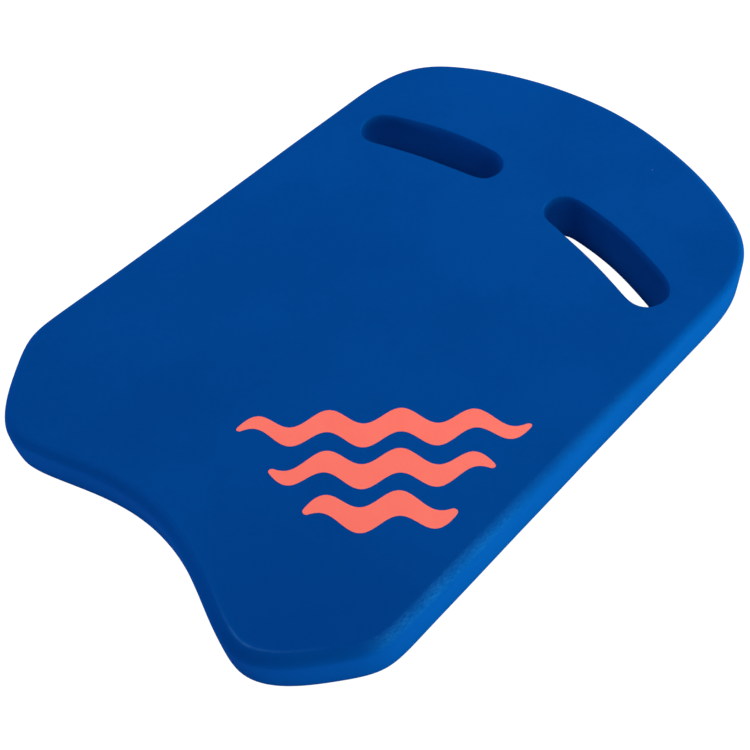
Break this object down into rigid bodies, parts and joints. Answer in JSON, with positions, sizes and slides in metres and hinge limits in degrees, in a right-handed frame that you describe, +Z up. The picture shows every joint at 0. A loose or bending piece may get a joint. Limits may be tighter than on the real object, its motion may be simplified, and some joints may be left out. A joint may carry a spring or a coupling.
{
  "type": "swimming kickboard",
  "caption": "Flat moulded foam kickboard with a rounded nose, a notched tail, a pair of curved hand slots and a printed wave emblem.",
  "frame": {"origin": "on the underside, at the middle of the board's length and width", "axes": "+Y to the rounded nose with the hand slots, +X to the right hand's slot, +Z up, out of the printed face"},
  "size_m": [0.3024, 0.43, 0.0325],
  "materials": {
    "foam": "closed-cell EVA foam with a moulded matt skin",
    "print_ink": "flat screen-printed ink"
  },
  "bodies": {
    "root": {"foam_board": "foam", "print_wave_upper": "print_ink", "print_wave_middle": "print_ink", "print_wave_lower": "print_ink"}
  },
  "joints": []
}
